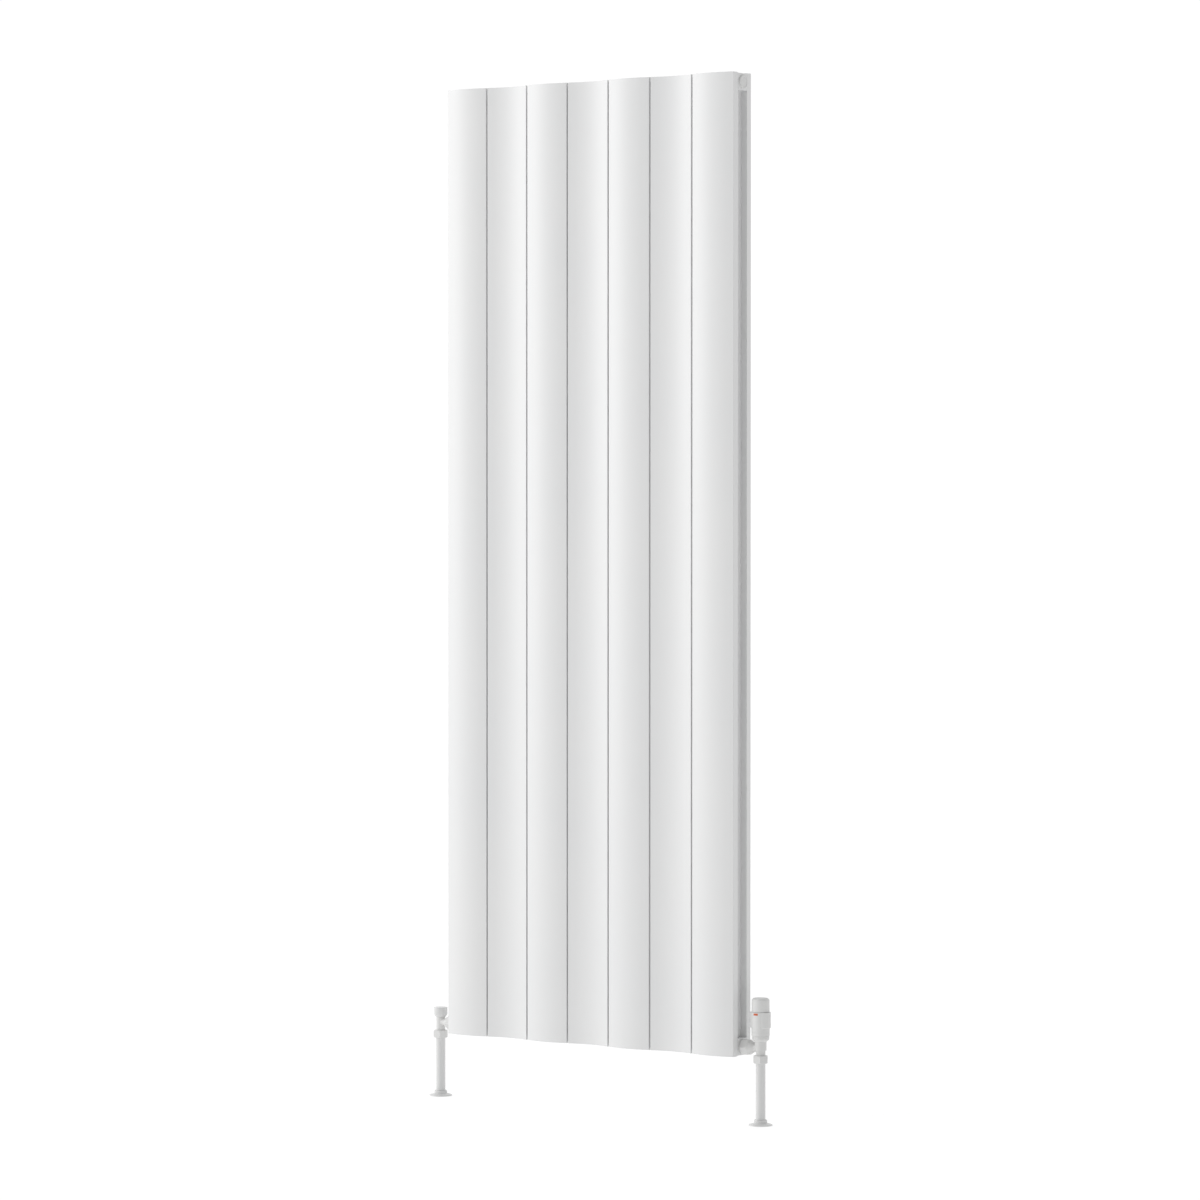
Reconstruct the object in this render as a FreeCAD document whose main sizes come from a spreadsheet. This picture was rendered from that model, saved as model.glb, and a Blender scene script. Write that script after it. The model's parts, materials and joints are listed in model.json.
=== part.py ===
import FreeCAD, Part

import math
import os
import re

import Sketcher

# A panel radiator of seven upright extruded sections on two header tubes, with a thermostatic valve at
# its lower right corner and a lockshield valve at its lower left corner, both fed through the floor.
#
# Frame, in millimetres: X runs along the radiator, to the right of a person who faces it. The wall is the
# plane y = 0, and the radiator stands in front of it, towards -Y. Z is up. The origin is the middle of the
# rectangle of wall screws.

SIZES = {
    # sections
    "section_pitch": 94.7,
    "section_gap": 3.0,
    "body_height": 1800,
    "wave_rise": 7.5,
    "plate_wall": 2.0,
    "front_lip": 14.6,
    "channel_depth": 28.8,
    "rear_lip": 12.6,
    "channel_width": 66,
    "edge_round": 0.8,
    "lip_round": 3.0,
    "slot_mouth": 8.4,
    "slot_width": 15.2,
    "wall_gap": 33.0,
    "floor_gap": 125.0,
    # headers and what closes them
    "header_height": 31.0,
    "header_width": 28.0,
    "header_wall": 2.0,
    "header_inset": 16.7,
    "port_diameter": 22.0,
    "boss_length": 14.0,
    "thread_bore": 20.7,
    "thread_diameter": 20.6,
    "thread_length": 11.0,
    "plug_diameter": 24.0,
    "plug_head": 2.4,
    "seal_thickness": 0.8,
    "cover_rim": 1.5,
    "cover_dish": 0.7,
    "socket_flats": 12.0,
    "bleed_diameter": 4.9,
    "bleed_bore": 5.0,
    "bleed_square": 4.8,
    # wall brackets
    "bracket_pitches": 2,
    "bracket_rise": 750.0,
    "bracket_width": 30.0,
    "bracket_sheet": 3.0,
    "bracket_tab": 24.0,
    "bolt_spare": 1.5,
    "bracket_above": 14.0,
    "bracket_below": 48.0,
    "screw_hole": 6.0,
    "bolt_drop": 34.0,
    "bolt_diameter": 5.8,
    "bolt_hole": 6.4,
    "bolt_head": 4.0,
    "bolt_head_width": 14.0,
    "bolt_head_height": 8.0,
    "nut_flats": 10.0,
    "nut_height": 5.0,
    # both valves
    "valve_offset": 41.0,
    "branch_bore": 11.0,
    "union_start": 3.2,
    "union_end": 19.0,
    "union_flats": 26.5,
    "union_thread": 23.0,
    "flare_end": 29.0,
    "flare_neck": 15.0,
    "tail_collar": 24.4,
    "tail_neck": 17.0,
    "tail_bore": 12.0,
    "compression_flats": 25.5,
    "compression_thread": 19.8,
    "compression_height": 14.2,
    "nut_chamfer": 2.6,
    "nut_lip": 2.5,
    "inlet_bore": 13.8,
    "pipe_socket": 15.1,
    "socket_depth": 9.0,
    # pipes
    "pipe_diameter": 15.0,
    "pipe_wall": 0.7,
    "sleeve_diameter": 17.9,
    "sleeve_bore": 15.3,
    "collar_diameter": 44.0,
    "collar_edge": 2.2,
    "collar_dome": 4.4,
    "collar_hub": 24.2,
    "collar_height": 10.4,
    "collar_bore": 18.6,
    # thermostatic valve body, heights from the branch axis
    "trv_nut_top": -13.6,
    "trv_neck": 17.6,
    "trv_shoulder": -4.3,
    "trv_body": 22.0,
    "trv_body_top": 11.6,
    "trv_flare_top": 15.0,
    "trv_thread": 29.8,
    "trv_thread_top": 18.4,
    "trv_seat_bore": 9.0,
    "trv_seat_under": -6.4,
    "trv_chamber": 17.0,
    "trv_mouth": 20.0,
    "trv_mouth_floor": 12.0,
    "insert_nose": 6.0,
    "insert_top": 21.6,
    "insert_neck": 12.0,
    "stem_diameter": 4.0,
    "stem_bore": 4.1,
    "stem_top": 26.0,
    "disc_diameter": 13.6,
    "disc_bottom": -2.6,
    "disc_thickness": 2.4,
    "spring_wire": 0.9,
    "return_spring": 8.0,
    # thermostatic head, heights from the branch axis
    "ring_bottom": 15.2,
    "ring_chamfer_top": 17.6,
    "ring_top": 22.6,
    "ring_diameter": 32.0,
    "ring_bore": 29.9,
    "ring_lip": 25.2,
    "rib_count": 20,
    "rib_groove": 1.7,
    "head_diameter": 33.4,
    "head_wall": 1.6,
    "head_bottom": 22.8,
    "head_floor": 2.2,
    "head_band": 6.2,
    "head_band_step": 0.35,
    "head_seam": 66.2,
    "seam_gap": 0.5,
    "pad_radius": 14.2,
    "pad_offset": 5.4,
    "pad_bottom": 37.3,
    "cap_diameter": 32.8,
    "cap_top": 92.1,
    "cap_round": 5.6,
    "cap_skirt": 28.6,
    "skirt_wall": 1.4,
    "skirt_bottom": 50.0,
    "sensor_diameter": 23.0,
    "sensor_bottom": 38.0,
    "sensor_top": 78.0,
    "rod_diameter": 6.0,
    "rod_gap": 0.15,
    "head_spring": 17.0,
    "index_width": 9.0,
    "index_height": 3.6,
    "index_drop": 1.6,
    "index_relief": 0.3,
    # lockshield valve, heights from the branch axis
    "lock_nut_top": -15.6,
    "lock_body": 17.0,
    "lock_body_top": 9.6,
    "lock_seat_bore": 8.4,
    "lock_seat_under": -7.0,
    "lock_seat_top": -4.5,
    "lock_chamber": 12.4,
    "gland_bottom": 7.0,
    "gland_flange": 16.0,
    "gland_top": 14.4,
    "spindle_diameter": 5.0,
    "spindle_bore": 5.1,
    "spindle_bottom": 2.2,
    "spindle_top": 23.0,
    "spindle_square": 3.6,
    "plug_body": 11.8,
    "plug_tip": 6.0,
    "plug_low": -4.0,
    "plug_shoulder": -1.0,
    "plug_top": 5.0,
    "plug_hole": 5.2,
    "lock_cap_diameter": 25.8,
    "lock_cap_mouth": 18.6,
    "lock_cap_bottom": 9.8,
    "lock_cap_taper": 14.8,
    "lock_cap_top": 28.8,
    "lock_cap_grip": 16.7,
    "lock_cap_bore": 22.0,
}

DERIVED = {
    "panel_half": "(section_pitch - section_gap) / 2",
    "body_half": "3 * section_pitch + panel_half",
    "core_half": "channel_width / 2",
    "bore_half": "core_half - plate_wall",
    "rear_y": "-wall_gap",
    "plate_y": "rear_y - rear_lip",
    "lip_y": "plate_y - channel_depth",
    "seam_y": "lip_y - front_lip",
    "header_y": "plate_y - channel_depth / 2",
    "slot_floor_y": "plate_y + plate_wall",
    "slot_lip_y": "rear_y - plate_wall",
    "wave_radius": "(panel_half ^ 2 + wave_rise ^ 2) / (2 * wave_rise)",
    "body_bottom": "-body_height / 2",
    "floor_z": "body_bottom - floor_gap",
    "header_zone": "header_inset + header_height / 2",
    "top_header_z": "body_height / 2 - header_inset",
    "low_header_z": "body_bottom + header_inset",
    "valve_x": "body_half + valve_offset",
    "valve_height": "floor_gap + header_inset",
    "trv_nut_bottom": "trv_nut_top - compression_height",
    "lock_nut_bottom": "lock_nut_top - compression_height",
    "head_inner": "head_diameter / 2 - head_wall",
    "cap_floor": "cap_top - head_wall",
}

SECTION_COUNT = 7
Y_AXIS = FreeCAD.Vector(0, 1, 0)
Z_AXIS = FreeCAD.Vector(0, 0, 1)
START, END = 1, 2

doc = FreeCAD.newDocument("Radiator")
sheet = doc.addObject("Spreadsheet::Sheet", "Sizes")
for row, (alias, size) in enumerate(SIZES.items(), start=1):
    sheet.set(f"A{row}", alias)
    sheet.set(f"B{row}", str(size))
    sheet.setAlias(f"B{row}", alias)
doc.recompute()

pieces = []


def formula(text):
    """A size written with the sheet's aliases, as an expression that FreeCAD reads."""

    def spell(match):
        word = match.group(0)
        if word in SIZES:
            return "Sizes." + word
        if word in DERIVED:
            return "(" + formula(DERIVED[word]) + ")"
        return word

    return re.sub(r"[a-z][a-z0-9_]*", spell, text)


def value(text):
    """What a size comes to, in millimetres."""
    return float(sheet.evalExpression(formula(text)))


def arc_between(start, end, radius, turn):
    """The short arc that curves to the left (turn 1) or right (-1) on its way; it is drawn anticlockwise."""
    if turn < 0:
        start, end = end, start
    chord = end - start
    across = FreeCAD.Vector(-chord.y, chord.x, 0).normalize()
    rise = radius - math.sqrt(radius ** 2 - (chord.Length / 2) ** 2)
    return Part.Arc(start, start + chord / 2 - across * rise, end)


def draw_outline(sketch, corners):
    """A closed outline. A corner (x, y) starts a straight side, and (x, y, radius, turn) starts an arc."""
    places = [FreeCAD.Vector(value(corner[0]), value(corner[1]), 0) for corner in corners]
    sides = []
    for corner, start, end in zip(corners, places, places[1:] + places[:1]):
        if len(corner) == 4:
            side = sketch.addGeometry(arc_between(start, end, value(corner[2]), corner[3]))
            radius = sketch.addConstraint(Sketcher.Constraint("Radius", side, value(corner[2])))
            sketch.setExpression(f"Constraints[{radius}]", formula(corner[2]))
        else:
            side = sketch.addGeometry(Part.LineSegment(start, end))
        forwards = sketch.Geometry[side].StartPoint.distanceToPoint(start) < 1e-6
        sides.append((side, START, END) if forwards else (side, END, START))
    for (side, _, last), (following, first, _) in zip(sides, sides[1:] + sides[:1]):
        sketch.addConstraint(Sketcher.Constraint("Coincident", side, last, following, first))
    for corner, place, (side, first, _) in zip(corners, places, sides):
        for kind, text, size in (("DistanceX", corner[0], place.x), ("DistanceY", corner[1], place.y)):
            held = sketch.addConstraint(Sketcher.Constraint(kind, side, first, size))
            sketch.setExpression(f"Constraints[{held}]", formula(text))


def draw_circle(sketch, x, y, diameter):
    centre = FreeCAD.Vector(value(x), value(y), 0)
    circle = sketch.addGeometry(Part.Circle(centre, Z_AXIS, value(diameter) / 2))
    for kind, text, size in (
        ("DistanceX", x, centre.x),
        ("DistanceY", y, centre.y),
    ):
        held = sketch.addConstraint(Sketcher.Constraint(kind, circle, 3, size))
        sketch.setExpression(f"Constraints[{held}]", formula(text))
    held = sketch.addConstraint(Sketcher.Constraint("Diameter", circle, value(diameter)))
    sketch.setExpression(f"Constraints[{held}]", formula(diameter))


def rectangle(left, right, low, high):
    return [(left, low), (right, low), (right, high), (left, high)]


def centred(width, depth):
    return rectangle(f"-({width}) / 2", f"({width}) / 2", f"-({depth}) / 2", f"({depth}) / 2")


def hexagon(flats, corners_on_x=True):
    """A hexagon of a given width across flats, with two corners on the first sketch axis or the second."""
    half = f"({flats}) / 2"
    corner = f"({flats}) / sqrt(3)"
    ring = [
        (corner, "0"),
        (f"{corner} / 2", half),
        (f"-{corner} / 2", half),
        (f"-{corner}", "0"),
        (f"-{corner} / 2", f"-{half}"),
        (f"{corner} / 2", f"-{half}"),
    ]
    if corners_on_x:
        return ring
    return [(across, along) for along, across in reversed(ring)]


class Piece:
    """One sub-part: a PartDesign body whose sketches, features and place all read the sheet."""

    def __init__(self, label, x="0", y="0", z="0", axis=Z_AXIS, angle=0):
        self.body = doc.addObject("PartDesign::Body", label)
        self.body.Label = label
        for letter, text in zip("xyz", (x, y, z)):
            self.body.setExpression(".Placement.Base." + letter, formula(text))
        self.body.Placement.Rotation = FreeCAD.Rotation(axis, angle)
        pieces.append(self.body)

    def origin(self, role):
        return next(item for item in self.body.Origin.OriginFeatures if item.Role == role)

    def sketch(self, plane, loops, height="0"):
        sketch = self.body.newObject("Sketcher::SketchObject", "Profile")
        sketch.AttachmentSupport = [(self.origin(plane), "")]
        sketch.MapMode = "FlatFace"
        sketch.setExpression("AttachmentOffset.Base.z", formula(height))
        for loop in loops:
            if isinstance(loop, tuple):
                draw_circle(sketch, *loop)
            else:
                draw_outline(sketch, loop)
        return sketch

    def feature(self, kind, **settings):
        feature = self.body.newObject("PartDesign::" + kind, kind)
        for name, setting in settings.items():
            setattr(feature, name, setting)
        return feature

    def pad(self, loops, low, high, plane="XY_Plane"):
        """Material between two heights above a plane; a height above the XZ plane counts towards -Y."""
        pad = self.feature("Pad", Profile=self.sketch(plane, loops, low))
        pad.setExpression("Length", formula(f"({high}) - ({low})"))
        return pad

    def cut(self, loops, low, high, plane="XY_Plane"):
        """A pocket between two heights above a plane."""
        before = self.volume()
        pocket = self.feature("Pocket", Profile=self.sketch(plane, loops, low), Reversed=True)
        pocket.setExpression("Length", formula(f"({high}) - ({low})"))
        if self.volume() >= before:
            raise RuntimeError(self.body.Label + ": a pocket removes nothing")
        return pocket

    def turn(self, outline, about="V_Axis"):
        """A turned shape: the outline lies in the XZ plane, as (radius, height) about the upright axis."""
        sketch = self.sketch("XZ_Plane", [outline])
        return self.feature("Revolution", Profile=sketch, ReferenceAxis=(sketch, [about]), Angle=360)

    def bore(self, outline, about="V_Axis"):
        """A turned hollow, drawn in the same way."""
        before = self.volume()
        sketch = self.sketch("XZ_Plane", [outline])
        groove = self.feature("Groove", Profile=sketch, ReferenceAxis=(sketch, [about]), Angle=360)
        if self.volume() >= before:
            raise RuntimeError(self.body.Label + ": a bore removes nothing")
        return groove

    def coil(self, mean, wire, low, high, turns):
        """A compression spring between two heights, its wire's centre on the mean diameter."""
        sketch = self.sketch("XZ_Plane", [(f"({mean}) / 2", f"({low}) + ({wire}) / 2", wire)])
        helix = self.feature("AdditiveHelix", Profile=sketch, ReferenceAxis=(sketch, ["V_Axis"]))
        helix.Mode = "height-turns-angle"
        helix.setExpression("Height", formula(f"({high}) - ({low}) - ({wire})"))
        helix.Turns = turns
        return helix

    def round_edges(self, radius, chosen):
        """A fillet on the edges of the last feature that the chosen test picks."""
        doc.recompute()
        base = self.body.Tip
        names = [f"Edge{n}" for n, edge in enumerate(base.Shape.Edges, start=1) if chosen(edge)]
        if not names:
            raise RuntimeError(self.body.Label + ": no edge to round")
        fillet = self.feature("Fillet", Base=(base, names))
        fillet.setExpression("Radius", formula(radius))
        return fillet

    def repeat_around(self, feature, count):
        pattern = self.feature("PolarPattern", Originals=[feature], Angle=360)
        pattern.Axis = (self.origin("Z_Axis"), [""])
        pattern.setExpression("Occurrences", formula(count))
        self.body.Tip = pattern
        return pattern

    def repeat_along_x(self, feature, length, count):
        pattern = self.feature("LinearPattern", Originals=[feature], Occurrences=count)
        pattern.Direction = (self.origin("X_Axis"), [""])
        pattern.setExpression("Length", formula(length))
        self.body.Tip = pattern
        return pattern

    def volume(self):
        doc.recompute()
        return self.body.Shape.Volume


def tube_wall(inner, outer, low, high):
    """The outline of a straight ring, from diameters and heights."""
    return rectangle(f"({inner}) / 2", f"({outer}) / 2", low, high)


def rod(diameter, low, high):
    return rectangle("0", f"({diameter}) / 2", low, high)


# ---- Sections ----


def section(number):
    """One extruded section: curved front plate with lips, water channel, rear plate with lips and slot."""
    bulge = 1 if number % 2 else -1
    inner_radius = f"(wave_radius - {bulge} * plate_wall)"
    centre_y = f"(seam_y + {bulge} * (wave_radius - wave_rise))"

    def inside(x):
        """Where the back of the front plate lies at a distance from the section's middle."""
        return f"{centre_y} - {bulge} * sqrt({inner_radius} ^ 2 - ({x}) ^ 2)"

    lip_inside = "panel_half - plate_wall"
    right = [
        ("panel_half", "seam_y"),
        ("panel_half", "lip_y"),
        (lip_inside, "lip_y"),
        (lip_inside, inside(lip_inside), inner_radius, -bulge),
        ("core_half", inside("core_half")),
        ("core_half", "plate_y"),
        ("panel_half", "plate_y"),
        ("panel_half", "rear_y"),
        (lip_inside, "rear_y"),
        (lip_inside, "slot_floor_y"),
        ("slot_width / 2 + plate_wall", "slot_floor_y"),
        ("slot_width / 2 + plate_wall", "rear_y"),
        ("slot_mouth / 2", "rear_y"),
        ("slot_mouth / 2", "slot_lip_y"),
        ("slot_width / 2", "slot_lip_y"),
        ("slot_width / 2", "slot_floor_y"),
    ]
    left = [(f"-({corner[0]})", corner[1]) for corner in reversed(right)]
    inner_corner = left.index(("-(core_half)", inside("core_half")))
    left[inner_corner] += (inner_radius, -bulge)
    left[-1] += ("wave_radius", bulge)
    channel = rectangle("-bore_half", "bore_half", "lip_y + plate_wall", "plate_y")
    cell = [
        ("-bore_half", "lip_y"),
        ("-bore_half", inside("bore_half"), inner_radius, bulge),
        ("bore_half", inside("bore_half")),
        ("bore_half", "lip_y"),
    ]
    piece = Piece(f"section_{number}", x=f"{number - 4} * section_pitch", z="body_bottom")
    piece.pad([right + left, channel, cell], "0", "body_height")
    front, lips, height = value("seam_y"), value("lip_y"), value("body_height")

    def front_corner(edge):
        box = edge.BoundBox
        return box.ZLength > height - 1 and abs(box.YMin - front) < 0.01 and box.YLength < 0.01

    def lip_corner(edge):
        box = edge.BoundBox
        level = box.ZLength < 0.01 and box.YLength < 0.01
        wide = abs(box.XLength - value("plate_wall")) < 0.01
        return level and wide and abs(box.YMin - lips) < 0.01

    piece.round_edges("edge_round", front_corner)
    piece.round_edges("lip_round", lip_corner)
    header_room = rectangle("-core_half - plate_wall", "core_half + plate_wall", "lip_y", "plate_y")
    piece.cut([header_room], "0", "header_zone")
    piece.cut([header_room], "body_height - header_zone", "body_height")


# ---- Headers and their ends ----


def header(label, height, ports_up):
    """A rectangular tube across all the sections, with a port into the channel of each one."""
    piece = Piece(label, y="header_y", z=height)
    outside = centred("header_width", "header_height")
    inside = centred("header_width - 2 * header_wall", "header_height - 2 * header_wall")
    end = "body_half - boss_length"
    piece.pad([outside, inside], f"-({end})", end, plane="YZ_Plane")
    port = (f"-{SECTION_COUNT // 2} * section_pitch", "0", "port_diameter")
    wall_out, wall_in = "header_height / 2", "header_height / 2 - header_wall"
    low, high = (wall_in, wall_out) if ports_up else (f"-({wall_out})", f"-({wall_in})")
    first = piece.cut([port], low, high)
    piece.repeat_along_x(first, f"{SECTION_COUNT - 1} * section_pitch", SECTION_COUNT)


def on_header_end(label, side, height):
    """A piece on the axis of a header end: its own z runs outwards from the end face."""
    return Piece(label, x=f"{side} * body_half", y="header_y", z=height, axis=Y_AXIS, angle=90 * side)


def end_boss(label, side, height):
    piece = on_header_end(label, side, height)
    block = centred("header_height", "header_width")
    piece.pad([block, ("0", "0", "thread_bore")], "-boss_length", "0")


def plug_seal(label, side, height):
    piece = on_header_end(label, side, height)
    piece.turn(tube_wall("thread_diameter + 0.6", "plug_diameter - 0.8", "0", "seal_thickness"))


def blank_plug():
    """The threaded plug of the top right header end, with a hexagon socket under its cover."""
    piece = on_header_end("blank_plug", 1, "top_header_z")
    head_top = "seal_thickness + plug_head"
    piece.turn([
        ("0", "-thread_length"),
        ("thread_diameter / 2 - 1", "-thread_length"),
        ("thread_diameter / 2", "1 - thread_length"),
        ("thread_diameter / 2", "seal_thickness"),
        ("plug_diameter / 2 - cover_rim", "seal_thickness"),
        ("plug_diameter / 2 - cover_rim", f"{head_top} - cover_dish - 1"),
        ("0", f"{head_top} - cover_dish - 1"),
    ])
    piece.cut([hexagon("socket_flats")], "-thread_length / 2", head_top)


def plug_cover():
    """The snap-on disc over the plug: a raised, rounded rim about a shallow dish."""
    piece = on_header_end("plug_cover", 1, "top_header_z")
    top = "seal_thickness + plug_head"
    radius = "plug_diameter / 2"
    piece.turn([
        ("0", f"{top} - cover_dish - 1"),
        (f"{radius} - cover_rim", f"{top} - cover_dish - 1"),
        (f"{radius} - cover_rim", "seal_thickness"),
        (radius, "seal_thickness"),
        (radius, f"{top} - cover_rim / 2", "cover_rim / 2", 1),
        (f"{radius} - cover_rim / 2", top),
        (f"{radius} - cover_rim", top),
        (f"{radius} - cover_rim - cover_dish", f"{top} - cover_dish"),
        ("0", f"{top} - cover_dish"),
    ])


def vent_plug():
    """The air vent of the top left header end: a threaded plug drilled through for the bleed screw."""
    piece = on_header_end("vent_plug", -1, "top_header_z")
    head_top = "seal_thickness + plug_head"
    piece.turn([
        ("bleed_bore / 2 - 1.3", "-thread_length"),
        ("thread_diameter / 2 - 1", "-thread_length"),
        ("thread_diameter / 2", "1 - thread_length"),
        ("thread_diameter / 2", "seal_thickness"),
        ("plug_diameter / 2", "seal_thickness"),
        ("plug_diameter / 2", f"{head_top} - 0.8", "0.8", 1),
        ("plug_diameter / 2 - 0.8", head_top),
        ("bleed_bore / 2 + 2", head_top),
        ("bleed_bore / 2 + 2", f"{head_top} - 1"),
        ("bleed_bore / 2", f"{head_top} - 1"),
        ("bleed_bore / 2", "4 - thread_length"),
        ("bleed_bore / 2 - 1.3", "2.7 - thread_length"),
    ])
    outlet = [("0", "-plug_diameter / 2 + 2.4", "1.6")]
    piece.cut(outlet, "seal_thickness", head_top)


def bleed_screw():
    """A small screw with a conical tip and a square end for the vent key."""
    piece = on_header_end("bleed_screw", -1, "top_header_z")
    head_top = "seal_thickness + plug_head"
    piece.turn([
        ("0", "3 - thread_length"),
        ("bleed_diameter / 2 - 1.2", "3.4 - thread_length"),
        ("bleed_diameter / 2", "4.6 - thread_length"),
        ("bleed_diameter / 2", f"{head_top} - 0.4"),
        ("0", f"{head_top} - 0.4"),
    ])
    piece.pad([centred("bleed_square - 1.4", "bleed_square - 1.4")], f"{head_top} - 0.4", f"{head_top} + 3")


# ---- Wall brackets ----


def bracket(label, side, level):
    """A folded sheet: a wall plate with the screw hole, a shelf, and a tab that the T-bolt clamps."""
    piece = Piece(label, x=f"{side} * bracket_pitches * section_pitch", z=f"{level} * bracket_rise")
    tab_top = "bracket_sheet + bracket_tab - bracket_below"
    side_view = [
        ("0", "-bracket_below"),
        ("0", "bracket_above"),
        ("-bracket_sheet", "bracket_above"),
        ("-bracket_sheet", "bracket_sheet - bracket_below"),
        ("bracket_sheet - wall_gap", "bracket_sheet - bracket_below"),
        ("bracket_sheet - wall_gap", tab_top),
        ("-wall_gap", tab_top),
        ("-wall_gap", "-bracket_below"),
    ]
    piece.pad([side_view], "-bracket_width / 2", "bracket_width / 2", plane="YZ_Plane")
    piece.cut([("0", "0", "screw_hole")], "0", "bracket_sheet", plane="XZ_Plane")
    piece.cut([("0", "-bolt_drop", "bolt_hole")], "wall_gap - bracket_sheet", "wall_gap", plane="XZ_Plane")


def bolt_places():
    """Middles of the four T-bolts, in the XZ plane."""
    x = "bracket_pitches * section_pitch"
    return [
        (f"{side} * {x}", f"{level} * bracket_rise - bolt_drop")
        for level in (-1, 1)
        for side in (-1, 1)
    ]


def bracket_bolts():
    piece = Piece("bracket_bolts")
    heads = [
        rectangle(
            f"{x} - bolt_head_width / 2",
            f"{x} + bolt_head_width / 2",
            f"{z} - bolt_head_height / 2",
            f"{z} + bolt_head_height / 2",
        )
        for x, z in bolt_places()
    ]
    under_head = "wall_gap + plate_wall"
    piece.pad(heads, under_head, f"{under_head} + bolt_head", plane="XZ_Plane")
    shanks = [(x, z, "bolt_diameter") for x, z in bolt_places()]
    piece.pad(shanks, "wall_gap - bracket_sheet - nut_height - bolt_spare", under_head, plane="XZ_Plane")


def bracket_nuts():
    piece = Piece("bracket_nuts")
    loops = []
    for x, z in bolt_places():
        loops.append([(f"{x} + {across}", f"{z} + {up}") for across, up in hexagon("nut_flats")])
        loops.append((x, z, "bolt_diameter + 0.1"))
    tab_back = "wall_gap - bracket_sheet"
    piece.pad(loops, f"{tab_back} - nut_height", tab_back, plane="XZ_Plane")


# ---- Pieces that both valves have ----


def at_valve(label, side):
    """A piece of a valve: its z is the valve's upright axis, its -x points along the branch."""
    turn_about = 0 if side > 0 else 180
    return Piece(label, x=f"{side} * valve_x", y="header_y", z="low_header_z", angle=turn_about)


def chamfer_nut(piece, flats, low, high):
    """Turn the corners of a hexagon down at both ends."""
    corner = f"({flats}) / sqrt(3) + 1"
    flat = f"({flats}) / 2"
    above = f"({low}) + nut_chamfer * 1.4"
    below = f"({high}) - nut_chamfer * 1.4"
    piece.bore([(flat, low), (corner, low), (corner, above), (flat, f"({low}) + 0.01")])
    piece.bore([(flat, f"({high}) - 0.01"), (corner, below), (corner, high), (flat, high)])


def tailpiece(label, side):
    """The tail that screws into the header end: thread, collar, neck, and the head the union nut pulls on."""
    piece = on_header_end(label, side, "low_header_z")
    neck_start = "seal_thickness + 1.9"
    lip_end = "union_start + nut_lip"
    piece.turn([
        ("tail_bore / 2", "-thread_length"),
        ("thread_diameter / 2 - 1", "-thread_length"),
        ("thread_diameter / 2", "1 - thread_length"),
        ("thread_diameter / 2", "seal_thickness"),
        ("tail_collar / 2", "seal_thickness"),
        ("tail_collar / 2", f"{neck_start} - 0.5"),
        ("tail_collar / 2 - 0.5", neck_start),
        ("tail_neck / 2", neck_start),
        ("tail_neck / 2", lip_end),
        ("union_thread / 2 - 0.4", lip_end),
        ("union_thread / 2 - 0.4", f"{lip_end} + 2.2"),
        ("tail_bore / 2", f"{lip_end} + 2.2"),
    ])


def union_nut(label, side):
    piece = on_header_end(label, side, "low_header_z")
    piece.pad([hexagon("union_flats", corners_on_x=False)], "union_start", "union_end")
    lip_end = "union_start + nut_lip"
    piece.bore([
        ("0", "union_start"),
        ("tail_neck / 2 + 0.3", "union_start"),
        ("tail_neck / 2 + 0.3", lip_end),
        ("union_thread / 2 + 0.05", lip_end),
        ("union_thread / 2 + 0.05", "union_end"),
        ("0", "union_end"),
    ])
    chamfer_nut(piece, "union_flats", "union_start", "union_end")


def compression_nut(label, side, low, high):
    """The nut that squeezes the olive on to the pipe."""
    piece = at_valve(label, side)
    piece.pad([hexagon("compression_flats")], low, high)
    piece.bore([
        ("0", low),
        ("pipe_diameter / 2 + 0.15", low),
        ("pipe_diameter / 2 + 0.15", f"{low} + nut_lip"),
        ("compression_thread / 2 + 0.05", f"{low} + nut_lip + 2"),
        ("compression_thread / 2 + 0.05", high),
        ("0", high),
    ])
    chamfer_nut(piece, "compression_flats", low, high)


def olive(label, side, nut_low):
    """A brass ring, bevelled at both ends, between the nut's lip and the valve body's mouth."""
    piece = at_valve(label, side)
    low = f"{nut_low} + nut_lip"
    bore = "pipe_diameter / 2 + 0.05"
    piece.turn([
        (bore, f"{low} + 0.6"),
        (f"{bore} + 0.5", f"{low} + 0.6"),
        (f"{bore} + 1.5", f"{low} + 1.8"),
        (f"{bore} + 1.5", f"{low} + 3"),
        (f"{bore} + 0.5", f"{low} + 4.4"),
        (bore, f"{low} + 4.4"),
    ])


def body_branch(piece):
    """The flared branch of a valve body and the thread for the union nut, about the branch axis."""
    tip = "-(valve_offset - union_start - nut_lip - 2.6)"
    flare_start = "-(valve_offset - union_end)"
    neck = "-(valve_offset - flare_end)"
    piece.turn([
        ("0", "0"),
        (tip, "0"),
        (tip, "union_thread / 2 - 0.6"),
        (f"{tip} + 0.6", "union_thread / 2"),
        (flare_start, "union_thread / 2"),
        (flare_start, "union_flats / 2 - 0.5"),
        (f"{flare_start} + 1", "union_flats / 2 - 0.5"),
        (neck, "flare_neck / 2"),
        ("0", "flare_neck / 2"),
    ], about="H_Axis")
    piece.bore([(tip, "0"), (tip, "branch_bore / 2"), ("0", "branch_bore / 2"), ("0", "0")], about="H_Axis")


def pipe(label, side, top):
    piece = at_valve(label, side)
    inside = "pipe_diameter - 2 * pipe_wall"
    piece.turn(tube_wall(inside, "pipe_diameter", "-valve_height", top))


def pipe_sleeve(label, side, nut_low):
    piece = at_valve(label, side)
    piece.turn(tube_wall("sleeve_bore", "sleeve_diameter", "-valve_height", f"{nut_low} - 0.2"))


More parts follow.
